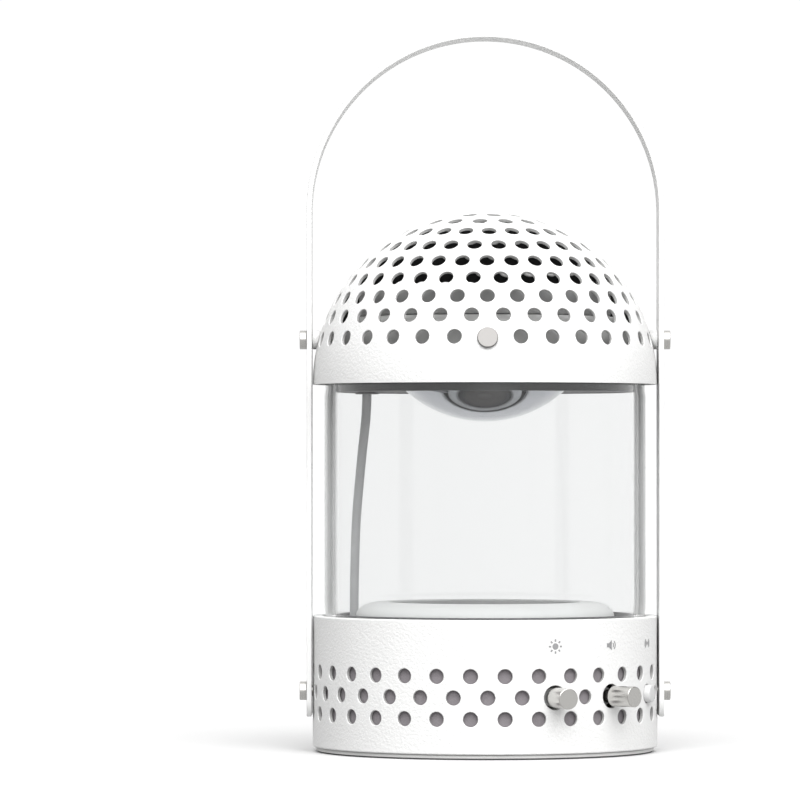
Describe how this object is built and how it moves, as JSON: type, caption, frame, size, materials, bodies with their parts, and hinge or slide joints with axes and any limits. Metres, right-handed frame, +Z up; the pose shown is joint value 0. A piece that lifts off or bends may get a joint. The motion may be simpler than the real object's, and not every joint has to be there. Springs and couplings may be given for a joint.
{
  "type": "lantern loudspeaker",
  "caption": "Portable lantern loudspeaker: a perforated dome and base joined by a clear glass tube with a lamp and a bass driver, two knobs, a button and a strap handle.",
  "frame": {"origin": "centre of the foot pad's underside, on the surface the lantern stands on", "axes": "+Z up along the body's axis; -Y to the front, where the dome's front stud is; +X to the lantern's right as seen from the front, and the strap handle's arch lies in the XZ plane"},
  "size_m": [0.1356, 0.1327, 0.2623],
  "materials": {
    "white_paint": "satin powder coat",
    "black_plastic": "matte",
    "grey_plastic": "matte",
    "lead_jacket": "matte",
    "pale_rubber": "matte",
    "dark_rubber": "matte",
    "grey_cloth": "fine woven mesh",
    "satin_metal": "satin",
    "steel": "satin",
    "bright_metal": "mirror polish",
    "ferrite": "matte",
    "paper": "matte paper",
    "green_board": "solder mask",
    "white_board": "white solder mask",
    "frosted_plastic": "frosted",
    "cell_wrap": "shrink wrap over a steel can",
    "clear_glass": "clear polished"
  },
  "bodies": {
    "lantern": {"base_drum": "white_paint", "base_mesh": "grey_cloth", "battery_cell_lower": "cell_wrap", "battery_cell_upper": "cell_wrap", "battery_holder": "black_plastic", "bottom_plate": "black_plastic", "bottom_screw_front": "steel", "bottom_screw_left_rear": "steel", "bottom_screw_right_rear": "steel", "charge_port": "steel", "control_bracket": "black_plastic", "deck_frame": "black_plastic", "dome_shell": "white_paint", "driver_basket": "black_plastic", "driver_magnet": "ferrite", "driver_spider": "paper", "driver_surround": "dark_rubber", "driver_top_plate": "steel", "driver_trim": "white_paint", "driver_yoke": "steel", "foot_pad": "pale_rubber", "front_stud": "satin_metal", "glass_tube": "clear_glass", "handle_strap": "white_paint", "lamp_driver_board": "green_board", "lamp_housing": "grey_plastic", "lamp_lead": "lead_jacket", "lamp_plate": "satin_metal", "lead_connector_lower": "frosted_plastic", "lead_connector_upper": "frosted_plastic", "lead_grommet_lower": "dark_rubber", "lead_grommet_upper": "dark_rubber", "led_board": "white_board", "light_encoder": "grey_plastic", "light_window": "frosted_plastic", "lower_gasket": "dark_rubber", "lower_strap_screw_left": "satin_metal", "lower_strap_screw_right": "satin_metal", "main_board": "green_board", "pairing_switch": "black_plastic", "port_board": "green_board", "rear_stud": "satin_metal", "reflector_dome": "bright_metal", "reflector_screw": "steel", "strap_spacer_left": "white_paint", "strap_spacer_right": "white_paint", "treble_baffle": "grey_plastic", "treble_driver": "black_plastic", "upper_gasket": "dark_rubber", "upper_strap_screw_left": "satin_metal", "upper_strap_screw_right": "satin_metal", "volume_encoder": "grey_plastic"},
    "light_knob": {"light_knob": "satin_metal"},
    "volume_knob": {"volume_knob": "satin_metal"},
    "pairing_button": {"pairing_button": "white_paint"},
    "driver_cone": {"driver_cone": "paper", "driver_dust_cap": "paper"}
  },
  "joints": [
    {"name": "light_knob_turn", "type": "hinge", "parent": "lantern", "child": "light_knob", "pos_m": [0.02411, -0.0582, 0.022], "axis": [0.3827, -0.9239, 0], "range_deg": [-150, 150]},
    {"name": "volume_knob_turn", "type": "hinge", "parent": "lantern", "child": "volume_knob", "pos_m": [0.04455, -0.04455, 0.022], "axis": [0.7071, -0.7071, 0], "range_deg": [-150, 150]},
    {"name": "pairing_button_press", "type": "slide", "parent": "lantern", "child": "pairing_button", "axis": [-0.9239, 0.3827, 0], "range_m": [0, 0.001], "stiffness_N_per_m": 600},
    {"name": "driver_cone_travel", "type": "slide", "parent": "lantern", "child": "driver_cone", "axis": [0, 0, 1], "range_m": [-0.001, 0.001], "stiffness_N_per_m": 800, "deforming": ["driver_surround", "driver_spider"]}
  ]
}
